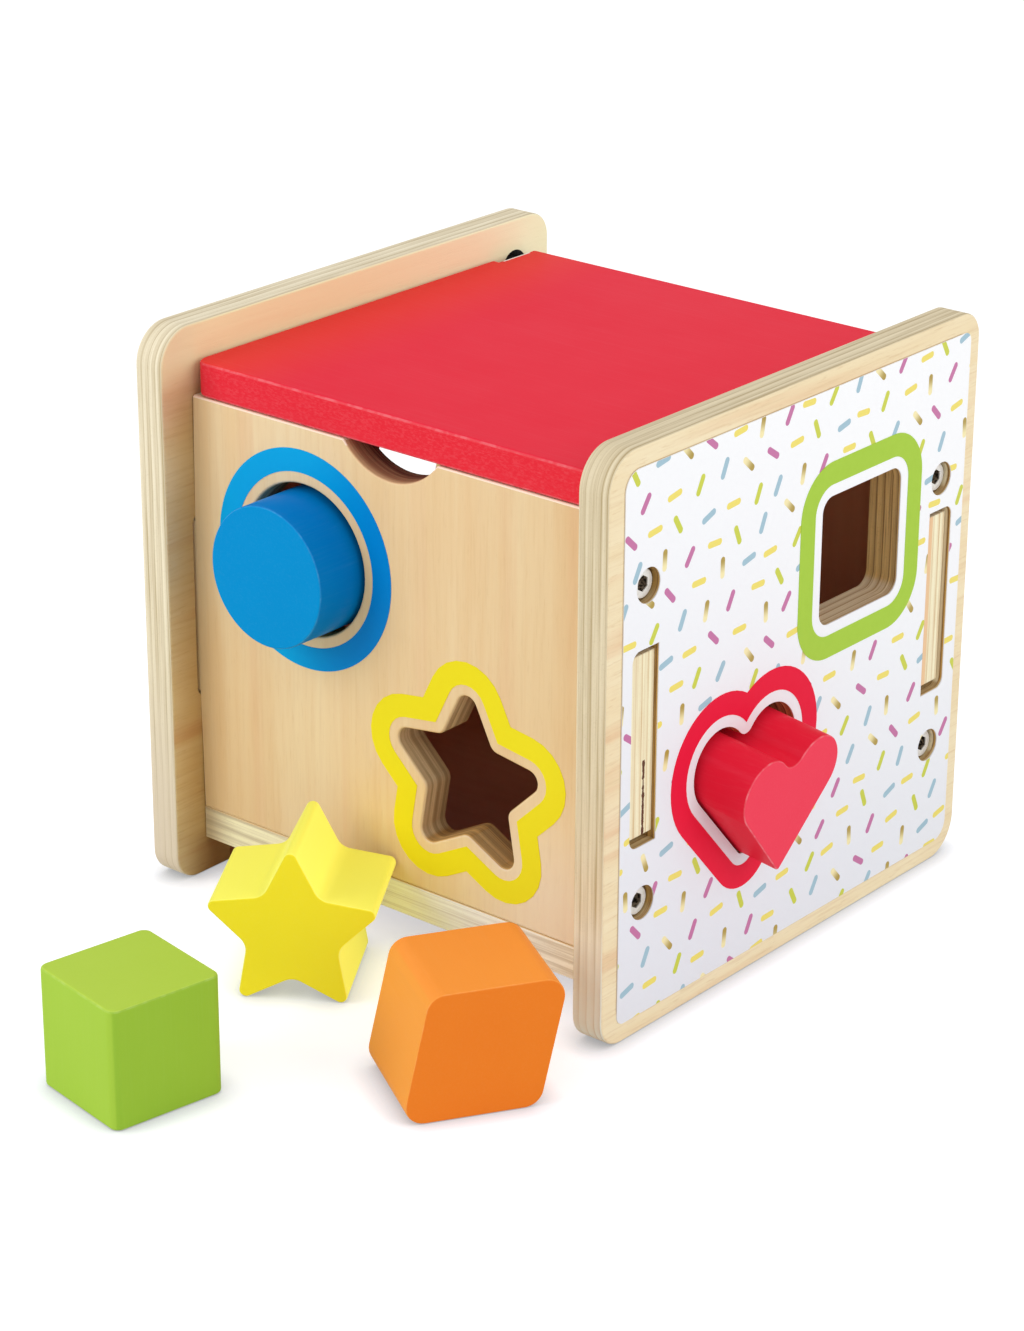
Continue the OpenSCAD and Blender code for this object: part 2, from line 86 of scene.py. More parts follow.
class Wire:
    """A socket of a node tree that takes part in sums and products like a number."""

    def __init__(self, tree, socket=None):
        self.tree, self.socket = tree, socket

    def node(self, kind, settings, sockets, out=0):
        """A new node: its settings first, then the values or wires of its sockets.

        Gives the output that out names, or a list where it names several.
        """
        made = self.tree.nodes.new("ShaderNode" + kind)
        for name, value in settings.items():
            if name == "stops":
                stops = made.color_ramp.elements
                while len(stops) < len(value):
                    stops.new(1.0)
                for stop, (place, colour) in zip(stops, value):
                    stop.position, stop.color = place, colour
            elif name == "steps":
                made.color_ramp.interpolation = "CONSTANT"
            else:
                setattr(made, name, value)
        for name, value in sockets.items():
            if isinstance(value, Wire):
                self.tree.links.new(value.socket, made.inputs[name])
            else:
                made.inputs[name].default_value = value
        if isinstance(out, tuple):
            return [Wire(self.tree, made.outputs[name]) for name in out]
        return Wire(self.tree, made.outputs[out])

    def math(self, operation, *values):
        return self.node("Math", {"operation": operation}, dict(enumerate(values)))

    def __add__(self, other):
        return self.math("ADD", self, other)

    def __sub__(self, other):
        return self.math("SUBTRACT", self, other)

    def __rsub__(self, other):
        return self.math("SUBTRACT", other, self)

    def __mul__(self, other):
        return self.math("MULTIPLY", self, other)

    def __truediv__(self, other):
        return self.math("DIVIDE", self, other)

    def __abs__(self):
        return self.math("ABSOLUTE", self)

    def __lt__(self, other):
        return self.math("LESS_THAN", self, other)

    def __gt__(self, other):
        return self.math("GREATER_THAN", self, other)

    __radd__ = __add__
    __rmul__ = __mul__


class Finish:
    """A material under way: place in millimetres and facing on the piece, and what goes on its surface."""

    def __init__(self, name, turn=0.0):
        self.material = bpy.data.materials.new(name)
        self.material.use_nodes = True
        tree = self.material.node_tree
        self.surface = next(n for n in tree.nodes if n.type == "BSDF_PRINCIPLED")
        self.wire = Wire(tree)
        spot, facing = self.wire.node("TexCoord", {}, {}, ("Object", "Normal"))
        if turn:
            spot, facing = self.turned_back(spot, turn), self.turned_back(facing, turn)
        self.spot = self.wire.node("VectorMath", {"operation": "SCALE"}, {0: spot, "Scale": 1 / MM})
        self.place = self.wire.node("SeparateXYZ", {}, {0: self.spot}, ("X", "Y", "Z"))
        self.facing = self.wire.node("SeparateXYZ", {}, {0: facing}, ("X", "Y", "Z"))

    def turned_back(self, vector, degrees):
        """A vector in the frame of a block that is turned on the table."""
        return self.wire.node("VectorRotate", {"rotation_type": "Z_AXIS"},
                              {"Vector": vector, "Angle": -math.radians(degrees)})

    def noise(self, per_mm, seed, detail=2.0, roughness=0.5, distortion=0.0):
        """Noise from 0 to 1, with per_mm of its cells in a millimetre along each axis."""
        start = tuple(seed * step for step in SEED_STEP)
        sockets = {0: self.spot, 1: per_mm, 2: start}
        at = self.wire.node("VectorMath", {"operation": "MULTIPLY_ADD"}, sockets)
        return self.wire.node("TexNoise", {}, {"Vector": at, "Scale": 1.0, "Detail": detail,
                                               "Roughness": roughness, "Distortion": distortion})

    def mix(self, share, first, second, blend="MIX"):
        """First colour, turning into the second by share, or blended with it."""
        sockets = {MIX_SHARE: share, MIX_FIRST: first, MIX_SECOND: second}
        return self.wire.node("Mix", {"data_type": "RGBA", "blend_type": blend}, sockets, MIX_RESULT)

    def tint(self, share, colour, by):
        """The colour multiplied by another one, as far as share says."""
        return self.mix(share, colour, by, "MULTIPLY")

    def ramp(self, value, stops, **settings):
        return self.wire.node("ValToRGB", {"stops": stops, **settings}, {0: value})

    def rise(self, value, start, end):
        """0 before start and 1 after end, smoothly between them."""
        return self.wire.node("MapRange", {"interpolation_type": "SMOOTHSTEP"},
                              {"Value": value, "From Min": start, "From Max": end})

    def within(self, axis, low, high):
        """1 between low and high along an axis, else 0."""
        return (self.place[axis] > low) * (self.place[axis] < high)

    def done(self, colour, roughness, height=None, depth=0.1, light=None, **constants):
        """Wires up the surface.

        Depth is how far, in millimetres, a height of 1 stands out, and light is what the surface emits.
        """
        links = self.wire.tree.links
        links.new(colour.socket, self.surface.inputs["Base Color"])
        links.new(roughness.socket, self.surface.inputs["Roughness"])
        if light is not None:
            links.new(light.socket, self.surface.inputs["Emission Color"])
        if height is not None:
            bump = self.wire.node("Bump", {}, {"Height": height, "Distance": depth * MM})
            links.new(bump.socket, self.surface.inputs["Normal"])
        for name, value in constants.items():
            self.surface.inputs[name.replace("_", " ")].default_value = value
        return self.material


def stretched(along, across_mm, along_mm):
    """Noise cells per millimetre for a grain that runs along one axis."""
    return tuple(along_mm if axis == along else across_mm for axis in range(3))


def grey(level):
    return (level, level, level, 1.0)


# Wood
SIDE_PALE, SIDE_WARM, SIDE_STREAK = shade("#F7E8C4"), shade("#F0DBB0"), 0.7
FRONT_PALE, FRONT_WARM, FRONT_STREAK = shade("#EDD4A8"), shade("#E6C492"), 0.4
VENEER_BLUSH, VENEER_FIBRE = shade("#E6BC90"), shade("#CDA46E")
PLY_PALE, PLY_DARK, PLY_STREAK = shade("#F3E8CC"), shade("#A9915F"), 0.4
GRAIN_DEPTH = 0.04
# Walls of the front panel's holes, and their paler copies as painted light for those of them that face
# right, into the light.
CUT_PALE, CUT_DARK, CUT_STREAK = shade("#E6B260"), shade("#7E531B"), 0.5
LIT_PALE, LIT_DARK = shade("#FFE6B2"), shade("#97703C")
# Walls of the side panels' holes, and their sills, which face up and are painted paler as painted light.
HOLE_PALE, HOLE_DARK, HOLE_STREAK = shade("#FFD68A"), shade("#6E4312"), 0.35
SILL_PALE, SILL_DARK = shade("#FFEFD0"), shade("#A87636")
BURNT_THREADS = 0.75
NOTCH_PALE, NOTCH_BROWN, NOTCH_DEEP = shade("#E4C090"), shade("#A87A58"), shade("#5E2A20")
# Colours at places across the notch's wall, as a share of its thickness, paler at the front and darker
# towards the inside, and the share of its pale streaks.
NOTCH_RAMP, NOTCH_STREAK = ((0.03, NOTCH_PALE), (0.28, NOTCH_BROWN), (0.8, NOTCH_DEEP)), 0.45
# Ends of the tenons, with a warm first ply on the back one and a split in the front one.
FRONT_END, BACK_END, END_DARK = shade("#FFFAD8"), shade("#FFF9D7"), shade("#C89A58")
END_BLUSH, END_VOID, BLUSH_SHARE = shade("#EFC090"), shade("#5A2E14"), 0.8
SPLIT_DEPTH, SPLIT_WIDTH, SPLIT_LEAST = 5.5, 1.1, 0.1
# The cross panels' top rim: pale, pinkish sanded wood with a painted highlight and a painted reflection of
# the lid.
SANDED_LIT_RIM, MOUTH_SHADE = shade("#FBE3CC"), shade("#0E0B08")
# The floor's edges, paler than other ply edges, as painted light against the shade of the blocks.
FLOOR_EDGE_PALE, FLOOR_EDGE_LEFT = shade("#FFF8E6"), shade("#F9F0C7")
# At the floor edge's left end, beside the left panel, darker as painted shade.
FLOOR_EDGE_DARK, FLOOR_EDGE_END_SHADE = shade("#B4A07E"), shade("#D8C4A0")
FLOOR_LINES, FLOOR_STREAK, FLOOR_THREADS = 0.2, 0.7, 0.6
# Painted light behind the yellow star, paler and cooler, against its shadow and the yellow light that it
# throws on the floor's edge.
STAR_SIDE_PALE, STAR_SIDE_DARK = shade("#FFFFFF"), shade("#CFC6C8")
# Inner face above the lid, paler as painted light against the red light of the lid, palest at the back.
INNER_TOP, INNER_TOP_BACK, TOP_SHARE = shade("#F8F4BE"), shade("#FFFFD4"), 0.8
# Colour painted at the foot of a front edge, its share and where it ends. The left one darkens the foot;
# the right one is cool and pale, a painted light against the light of the orange block.
LEFT_FOOT, RIGHT_FOOT = (shade("#D6C4AE"), 0.75, 75), (shade("#F1FFF8"), 1.0, 40)
FOOT_LOW, FOOT_LINES = 8, 0.7
# Painted shade inside the closed box, reddish as the red lid would make it.
INSIDE_SHADE = (0.76, 0.42, 0.35, 1.0)
# Painted shade on a side panel's inner face, in its corner with the front panel.
CORNER_SHADE = (0.62, 0.475, 0.30, 1.0)
# Painted shade on a side panel's inner face, in front of the lid's front corner.
TOP_FRONT_SHADE = (0.93, 0.76, 0.79, 1.0)
# Painted shade on a side panel's inner face, below the floor panel's front.
BELOW_FLOOR_SHADE = (0.60, 0.40, 0.24, 1.0)
# Painted shade deeper in the front panel's holes.
DEEP_WALL_SHADE = (0.62, 0.55, 0.48, 1.0)
# Darker, browner slot walls, and a pale painted light on the back slot's wall that faces forward, in its
# recess.
SLOT_TINT, SLOT_PALE = (0.80, 0.72, 0.52, 1.0), shade("#FFF0C8")
# Front panel warmer at upper right and lower left; cool painted light at lower right, against the orange
# block.
WARM_TINT, COOL_PALE, COOL_SHARE = (0.95, 0.91, 0.85, 1.0), shade("#F7EADC"), 0.5
SHEET_SHADOW = (0.62, 0.54, 0.44, 1.0)
LEFT_EDGE_TINT, RIGHT_EDGE_TINT = (1.0, 1.0, 1.0, 1.0), (0.88, 0.85, 0.79, 1.0)

# Facing along an axis, from where one look gives way to where the next is whole.
FACE_TURN, CUT_TURN, WALL_TURN, EDGE_TURN = (0.5, 0.8), (0.55, 0.8), (0.3, 0.8), (0.5, 0.9)
SLOT_TURN, NOTCH_TURN, RIM_TURN, PAINT_TURN = (0.6, 0.9), (0.6, 0.98), (0.15, 0.4), (0.6, 0.8)

GLUE_LINES = (2.1, 4.4, 6.75, 8.45)
# Darkness before, at and after a glue line.
LINE_STOPS = ((-0.55, 0.30), (-0.16, 0.45), (0.0, 1.0), (0.16, 0.25), (0.5, 0.0))
FIRST_STOPS = ((0.0, 0.15), (0.45, 0.0))
# Darkness across the thickness in a hole of the front panel, where the plies stand out more.
CUT_BANDS = ((0.0, 0.1), (0.5, 0.2), (0.8, 0.9), (2.5, 0.75), (2.9, 0.05), (4.2, 0.2), (4.6, 1.0),
             (5.4, 0.8), (5.8, 0.05), (7.0, 0.15), (7.3, 0.95), (7.9, 0.7), (8.2, 0.1), (9.0, 0.4))
BAND_SHARE = 0.5

# Places on the wood, in millimetres.
LID_LOW = local_box("lid")[0].z
FLOOR_LOW = local_box("floor_panel")[0].z
FRONT_FACE = local_box("front_panel")[0].y
INNER_X, INNER_Y = BOX_W / 2 - PLY, -FRONT_FACE - PLY
PIN_LOW, PIN_HIGH = local_box("left_hinge_pin")
HINGE_Y, HINGE_Z = (PIN_LOW.y + PIN_HIGH.y) / 2, (PIN_LOW.z + PIN_HIGH.z) / 2
# Width of a side panel's rim, which has no cuts.
RIM = 3.2
# Radius of the countersunk mouth of a hinge hole, painted black as painted shade.
MOUTH_RADIUS = 4.9
# Half width and depth of the finger notch with a little room, and how far below the top its wall ends.
NOTCH_HALF, NOTCH_DEPTH, NOTCH_TOP = 18.0, 11.0, 0.6
# Distances of a cross panel's holes from its sides, its foot and its top.
HOLES_ASIDE, HOLES_ABOVE, HOLES_BELOW = 2, 4, 0.45
DEEP_START = 2.5
END_REACH, RIM_REACH, OUTWARD_LEAST = 3, 1.5, 0.1
SLOT_START = INNER_Y - 5
SHEET_CORNER = 5.0

# Zones in millimetres over which a look of the side panels sets in or fades.
EDGE_ZONE = (0, 60)
LIP_ZONE = (BOX_W / 2 - 1.1, BOX_W / 2 - 0.6)
SHADOW_ZONE = (0.1, 0.4)
TOP_BACK_ZONE, ABOVE_LID_ZONE = (-20, 60), (LID_LOW - 2, LID_LOW + 8)
CORNER_IN, CORNER_OUT = (FRONT_FACE - 22, FRONT_FACE), (FRONT_FACE + 2, FRONT_FACE + 14)
CORNER_TOP = (LID_LOW - 6, LID_LOW + 13)
TOP_FRONT_Y, TOP_FRONT_Z = (FRONT_FACE - 9, FRONT_FACE + 15), (LID_LOW - 15, LID_LOW + 2)
BELOW_Y, BELOW_Z = (FRONT_FACE - 9, FRONT_FACE + 6), (FLOOR_LOW - 3, FLOOR_LOW + 4)
# The same for the front panel and the floor.
WARM_RIGHT, WARM_HIGH = (20, 50), (50, 75)
WARM_LEFT, WARM_LOW = (-50, -20), (60, 90)
COOL_RIGHT, COOL_LOW = (5, 50), (25, 60)
STAR_SIDE_IN, STAR_SIDE_OUT = (-35, -5), (20, 60)
FLOOR_EDGE_ZONE, FLOOR_END_ZONE = (-60, 30), (-66, -54)


def veneer(f, along, seed, pale, warm, streak):
    """Colour and height of a face veneer whose grain runs along one axis."""
    patches = f.noise(stretched(along, 0.03, 0.010), seed + 4, detail=3, roughness=0.6)
    bands = f.noise(stretched(along, 0.17, 0.006), seed, detail=4, roughness=0.6, distortion=0.5)
    blush = f.rise(f.noise(stretched(along, 0.10, 0.006), seed + 1, detail=3, distortion=0.4), 0.52, 0.72)
    fibres = f.noise(stretched(along, 1.1, 0.05), seed + 2, detail=5, roughness=0.65)
    flecks = f.rise(f.noise(stretched(along, 2.2, 0.20), seed + 3, detail=2), 0.60, 0.74)
    colour = f.mix(f.rise(0.55 * bands + 0.45 * patches, 0.32, 0.66), pale, warm)
    colour = f.mix(blush * streak, colour, VENEER_BLUSH)
    colour = f.mix(f.rise(fibres, 0.45, 0.78) * streak * 0.5, colour, VENEER_FIBRE)
    colour = f.mix(flecks * streak * 0.35, colour, VENEER_FIBRE)
    return colour, 1 - f.rise(fibres, 0.4, 0.8) * 0.6 - flecks * 0.4


def ply_stops():
    """Darkness across a panel's thickness: pale after a glue line, and darker towards the next one."""
    stops = list(FIRST_STOPS)
    for line in GLUE_LINES:
        for offset, level in LINE_STOPS:
            stops.append((min(PLY, line + offset), level))
    return sorted(stops)


def plies(f, across, low, seed, stops):
    """Darkness of the plies at a place across the panel's thickness, which starts at low."""
    wobble = f.noise(stretched(across, 0.03, 0.01), seed, detail=3) - 0.5
    depth = (f.place[across] - low + wobble * 0.6) / PLY
    return f.ramp(depth, [(place / PLY, grey(level)) for place, level in stops])


def ply_edge(f, lines, across, seed, pale, dark, streaks, threads=0.42):
    """Colour of a cut plywood edge with its ply lines, broad streaks, fine threads and open pores."""
    broad = f.noise(stretched(across, 0.014, 0.8), seed, detail=3, roughness=0.6)
    fine = f.noise(stretched(across, 0.04, 3.0), seed + 1, detail=4, roughness=0.65)
    pores = f.noise((2.2, 2.2, 2.2), seed + 2, detail=2)
    colour = f.mix(lines, pale, dark)
    colour = f.mix(f.rise(broad, 0.42, 0.75) * streaks, colour, dark)
    colour = f.mix(f.rise(fine, 0.44, 0.78) * threads, colour, dark)
    return f.mix(f.rise(pores, 0.55, 0.8) * 0.16, colour, dark)


def plywood(f, node, across, along, seed, pale, warm, streak):
    """Colour, roughness, height and ply lines of lacquered plywood, and where its faces are."""
    low = local_box(node)[0][across]
    face = f.rise(abs(f.facing[across]), *CUT_TURN)
    faint = 0.35 + 0.65 * f.rise(f.noise(stretched(across, 0.025, 0.4), seed + 9, detail=3), 0.3, 0.7)
    lines = plies(f, across, low, seed + 10, ply_stops()) * faint
    edge = ply_edge(f, lines, across, seed + 11, PLY_PALE, PLY_DARK, PLY_STREAK)
    wood, height = veneer(f, along, seed, pale, warm, streak)
    rough = 0.42 + 0.16 * f.noise((0.2, 0.2, 0.2), seed + 30, detail=3) + (1 - face) * 0.18
    return f.mix(face, edge, wood), rough, height, lines, face


def browned(f, wood, cut, across, seed, bands, pale, dark, streaks):
    """The wood with its cut holes browned by the cutter, where cut is 1."""
    burnt = ply_edge(f, bands, across, seed, pale, dark, streaks, BURNT_THREADS)
    scorch = 0.85 + 0.15 * f.noise(stretched(across, 0.5, 0.15), seed + 6, detail=3)
    return f.mix(cut * scorch, wood, burnt)


def side_wood(node, sheet, seed, inward, edge_tint, foot_look):
    """Wood of a side panel. Inward is the direction along X from it to the middle of the box."""
    f = Finish(node + "_wood")
    x, y, z = f.place
    face_x, face_y, face_z = f.facing
    grain = plywood(f, node, ACROSS_X, ACROSS_Y, seed, SIDE_PALE, SIDE_WARM, SIDE_STREAK)
    colour, rough, height, lines, face = grain
    cut = f.within(ACROSS_Y, -HALF_D + RIM, HALF_D - RIM) * f.within(ACROSS_Z, RIM, BOX_H - RIM)
    wall = cut * (1 - face)
    # Sills face up and take paler colours, as painted light.
    sill = f.rise(face_z, *WALL_TURN)
    pale, dark = f.mix(sill, HOLE_PALE, SILL_PALE), f.mix(sill, HOLE_DARK, SILL_DARK)
    bands = plies(f, ACROSS_X, local_box(node)[0].x, seed + 13, ply_stops())
    colour = browned(f, colour, wall, ACROSS_X, seed + 14, bands, pale, dark, HOLE_STREAK)
    colour = f.tint((1 - face) * f.rise(z, *EDGE_ZONE), colour, edge_tint)
    colour = f.tint(wall * (abs(y) > SLOT_START), colour, SLOT_TINT)
    # Painted light on the back slot's forward wall, in its recess.
    back_slot = cut * (y > SLOT_START) * f.rise(-1 * face_y, *SLOT_TURN)
    sunk = 1 - f.rise(x * -inward, *LIP_ZONE)
    colour = f.mix(back_slot * sunk, colour, SLOT_PALE)
    # At the foot of the front edge: darker on the left, a cool painted light on the right.
    foot_colour, foot_share, foot_top = foot_look
    foot = f.rise(-1 * face_y, *EDGE_TURN) * (1 - f.rise(z, FOOT_LOW, foot_top)) * (1 - cut)
    colour = f.mix(foot * (1 - FOOT_LINES * lines) * foot_share, colour, foot_colour)
    inner, outer = f.rise(face_x * inward, *FACE_TURN), f.rise(face_x * -inward, *FACE_TURN)
    border = outside_frame(f, sheet, SHEET_CORNER, 0.0)
    colour = f.tint(outer * (1 - f.rise(border, *SHADOW_ZONE)), colour, SHEET_SHADOW)
    # Painted light above the lid, against the red light of the lid.
    top = f.mix(f.rise(y, *TOP_BACK_ZONE), INNER_TOP, INNER_TOP_BACK)
    colour = f.mix(inner * f.rise(z, *ABOVE_LID_ZONE) * TOP_SHARE, colour, top)
    # Painted shade in the corner with the front panel.
    corner = f.rise(y, *CORNER_IN) * (1 - f.rise(y, *CORNER_OUT)) * (1 - f.rise(z, *CORNER_TOP))
    colour = f.tint(inner * corner, colour, CORNER_SHADE)
    # Painted shade in front of the lid's front corner.
    top_front = (1 - f.rise(y, *TOP_FRONT_Y)) * f.rise(z, *TOP_FRONT_Z)
    colour = f.tint(inner * top_front, colour, TOP_FRONT_SHADE)
    # Painted shade below the floor panel.
    below = (1 - f.rise(z, *BELOW_Z)) * f.rise(y, *BELOW_Y)
    colour = f.tint(inner * below, colour, BELOW_FLOOR_SHADE)
    # Painted shade inside the box.
    room = f.within(ACROSS_Y, -INNER_Y, INNER_Y) * (z < LID_LOW)
    colour = f.tint(inner * room, colour, INSIDE_SHADE)
    # The countersunk mouth of the hinge hole is painted black, as painted shade.
    away_y, away_z = y - HINGE_Y, z - HINGE_Z
    mouth = away_y * away_y + away_z * away_z < MOUTH_RADIUS ** 2
    return f.done(f.mix(mouth, colour, MOUTH_SHADE), rough, height, depth=GRAIN_DEPTH)


def cross_wood(node, seed, inward, end_pale, blush_to=0.0, void_top=0.0):
    """Wood of the front or back panel. Inward is the direction along Y from it to the middle of the box.

    The first ply of a tenon's end can be warm, up to a depth, and its middle split, up to a height.
    """
    f = Finish(node + "_wood")
    low, high = local_box(node)
    x, y, z = f.place
    face_x, face_y, face_z = f.facing
    grain = plywood(f, node, ACROSS_Y, ACROSS_Z, seed, FRONT_PALE, FRONT_WARM, FRONT_STREAK)
    colour, rough, height, lines, face = grain
    depth = y - low.y
    hole_x, hole_z = INNER_X - HOLES_ASIDE, (low.z + HOLES_ABOVE, high.z - HOLES_BELOW)
    wall = f.within(ACROSS_X, -hole_x, hole_x) * f.within(ACROSS_Z, *hole_z) * (1 - face)
    # Walls that face right, into the light, take the paler copies as painted light.
    lit = f.rise(face_x, *WALL_TURN)
    pale, dark = f.mix(lit, CUT_PALE, LIT_PALE), f.mix(lit, CUT_DARK, LIT_DARK)
    bands = plies(f, ACROSS_Y, low.y, seed + 13, CUT_BANDS) * BAND_SHARE
    colour = browned(f, colour, wall, ACROSS_Y, seed + 14, bands, pale, dark, CUT_STREAK)
    # Painted shade deeper in the hole.
    colour = f.tint(wall * f.rise(depth, DEEP_START, PLY), colour, DEEP_WALL_SHADE)
    # The notch's wall, paler at the front and darker towards the inside.
    edge_colour = f.ramp(depth / PLY, NOTCH_RAMP)
    fine = f.noise(stretched(ACROSS_Y, 0.05, 2.4), seed + 26, detail=4, roughness=0.65)
    edge_colour = f.mix(f.rise(fine, 0.42, 0.72) * NOTCH_STREAK, edge_colour, NOTCH_PALE)
    notch_z = high.z - NOTCH_DEPTH, high.z - NOTCH_TOP
    notch = f.within(ACROSS_X, -NOTCH_HALF, NOTCH_HALF) * f.within(ACROSS_Z, *notch_z)
    colour = f.mix(notch * (1 - f.rise(abs(face_y), *NOTCH_TURN)), colour, edge_colour)
    outer, inner = f.rise(face_y * -inward, *FACE_TURN), f.rise(face_y * inward, *FACE_TURN)
    upper_right = f.rise(x, *WARM_RIGHT) * f.rise(z, *WARM_HIGH)
    lower_left = (1 - f.rise(x, *WARM_LEFT)) * (1 - f.rise(z, *WARM_LOW))
    colour = f.tint(outer * (upper_right + lower_left), colour, WARM_TINT)
    # Cool painted light at the lower right, against the light of the orange block.
    lower_right = f.rise(x, *COOL_RIGHT) * (1 - f.rise(z, *COOL_LOW))
    colour = f.mix(outer * lower_right * COOL_SHARE, colour, COOL_PALE)
    end = ply_edge(f, lines, ACROSS_Y, seed + 17, end_pale, END_DARK, PLY_STREAK)
    end = f.mix((depth < blush_to) * BLUSH_SHARE, end, END_BLUSH)
    ragged = f.noise((0.3, 0.3, 0.9), seed + 24, detail=4) * SPLIT_WIDTH - SPLIT_LEAST
    split = (abs(depth - SPLIT_DEPTH) < ragged) * (z < void_top) * (x > 0)
    end = f.mix(split, end, END_VOID)
    colour = f.mix(f.rise(abs(face_x), *FACE_TURN) * (abs(x) > BOX_W / 2 - END_REACH), colour, end)
    # Painted shade inside the box.
    colour = f.tint(inner, colour, INSIDE_SHADE)
    # Top rim: sanded wood with a painted highlight and a painted reflection of the lid.
    rim = f.rise(face_z, *RIM_TURN) * (face_y * inward < -OUTWARD_LEAST) * (z > high.z - RIM_REACH)
    return f.done(f.mix(rim, colour, SANDED_LIT_RIM), rough, height, depth=GRAIN_DEPTH)


def floor_wood(node, seed):
    """Wood of the floor panel: front and back edges paler as painted light, painted shade inside the box.
    """
    f = Finish(node + "_wood")
    x = f.place[0]
    grain = plywood(f, node, ACROSS_Z, ACROSS_X, seed, FRONT_PALE, FRONT_WARM, FRONT_STREAK)
    colour, rough, height, lines, _ = grain
    # Painted light behind the star.
    by_star = f.rise(x, *STAR_SIDE_IN) * (1 - f.rise(x, *STAR_SIDE_OUT))
    # Edges paler as painted light, and darker at the left end as painted shade.
    pale = f.mix(f.rise(x, *FLOOR_EDGE_ZONE), FLOOR_EDGE_LEFT, FLOOR_EDGE_PALE)
    pale = f.mix(f.rise(x, *FLOOR_END_ZONE), FLOOR_EDGE_END_SHADE, pale)
    pale = f.mix(by_star, pale, STAR_SIDE_PALE)
    dark = f.mix(by_star, FLOOR_EDGE_DARK, STAR_SIDE_DARK)
    edge = ply_edge(f, lines * FLOOR_LINES, ACROSS_Z, seed + 17, pale, dark, FLOOR_STREAK, FLOOR_THREADS)
    colour = f.mix(f.rise(abs(f.facing[1]), *FACE_TURN), colour, edge)
    # Painted shade on the floor's top inside the box.
    room = f.within(ACROSS_Y, -INNER_Y, INNER_Y)
    colour = f.tint(f.rise(f.facing[2], *FACE_TURN) * room, colour, INSIDE_SHADE)
    return f.done(colour, rough, height, depth=GRAIN_DEPTH)


# Paint
# Pale strip along the lid's recess edges, bare wood with a painted highlight.
BARE_LIT_EDGE = shade("#F6EDEA")
PAINT_SHEEN, LID_SHEEN, INK_SHEEN = 0.03, 0.02, 0.05
CLOUD_SHARE, GRAIN_SHARE, MOTTLE_SHARE = 0.03, 0.03, 0.05
# Tilt where the paint of an edge begins to thin and to take a painted highlight, and where it is whole
# again.
THIN_LIT_START, THIN_LIT_END = (0.12, 0.4), (0.75, 0.985)
# Light of a face that looks ahead, and what it gains by turning right.
GLOW_AHEAD, GLOW_RIGHT = 0.36, 0.75
PEEL_DEPTH, INK_DEPTH = 0.02, 0.01
# Where an outline's colour deepens, in millimetres from its middle, and how far that leans with the height.
DEEPEN_ZONE, DEEPEN_LEAN = (-8, 24), 0.2


def paint(f, lit_shades, edge_colour, across, along, seed, wear_and_highlight, sheen=PAINT_SHEEN, end_grain=0.0, glow=0.0, rim=None,
          bare_lit=None):
    """Satin paint over wood, its faces across X, Y and Z in shades of painted light, and the caps' edges
    thinner, with a painted highlight.

    The caps are across one axis and the grain runs along one. Rim is a warm painted reflection of the wood
    at the left of the top and the zone over which it ends, and bare_lit is where a pale strip shows, as
    bare wood and a painted highlight.
    """
    on_x, on_y, on_z = (shade(code) for code in lit_shades)
    thin_lit = shade(edge_colour)
    # A warm painted reflection of the wood at the left of the top.
    if rim:
        reflection_code, reflection_zone = rim
        on_z = f.mix(f.rise(f.place[0], *reflection_zone), shade(reflection_code), on_z)
    # Each face takes the shade of its axis, as painted light.
    base = f.mix(f.rise(abs(f.facing[1]), *PAINT_TURN), on_x, on_y)
    base = f.mix(f.rise(abs(f.facing[2]), *PAINT_TURN), base, on_z)
    cloud = f.noise((0.05, 0.05, 0.05), seed, detail=3)
    grain = f.noise(stretched(along, 1.6, 0.05), seed + 1, detail=4, roughness=0.6)
    peel = f.noise((1.6, 1.6, 1.6), seed + 2, detail=2)
    tilt = abs(f.facing[across])
    edge = f.rise(tilt, *THIN_LIT_START) * (1 - f.rise(tilt, *THIN_LIT_END))
    # Worn, paler paint along the caps' edges, also a painted highlight.
    rubbed_lit = edge * (0.3 + 0.7 * f.rise(f.noise((0.4, 0.4, 0.4), seed + 3, detail=4), 0.4, 0.65))
    mixed = f.tint(f.rise(cloud, 0.3, 0.7) * CLOUD_SHARE, base, base)
    mixed = f.mix(f.rise(grain, 0.45, 0.8) * GRAIN_SHARE, mixed, thin_lit)
    speck = f.rise(f.noise(stretched(along, 2.6, 1.0), seed + 4, detail=3, roughness=0.7), 0.42, 0.7)
    mixed = f.mix(speck * end_grain * f.rise(abs(f.facing[1]), *EDGE_TURN), mixed, thin_lit)
    mixed = f.mix(rubbed_lit * wear_and_highlight, mixed, thin_lit)
    # The pale strip: bare wood with a painted highlight.
    if bare_lit is not None:
        mixed = f.mix(bare_lit, mixed, BARE_LIT_EDGE)
    rough = 0.38 + 0.10 * (cloud - 0.5) + 0.10 * rubbed_lit
    light = None
    if glow:
        level = f.facing[0].math("MAXIMUM", GLOW_AHEAD + GLOW_RIGHT * f.facing[0], 0.0)
        light = f.tint(1.0, mixed, level * (1 - f.rise(f.facing[1], *WALL_TURN)))
    return f.done(mixed, rough, 0.7 * peel + 0.3 * grain, depth=PEEL_DEPTH, light=light,
                  Specular_IOR_Level=sheen, Emission_Strength=glow)


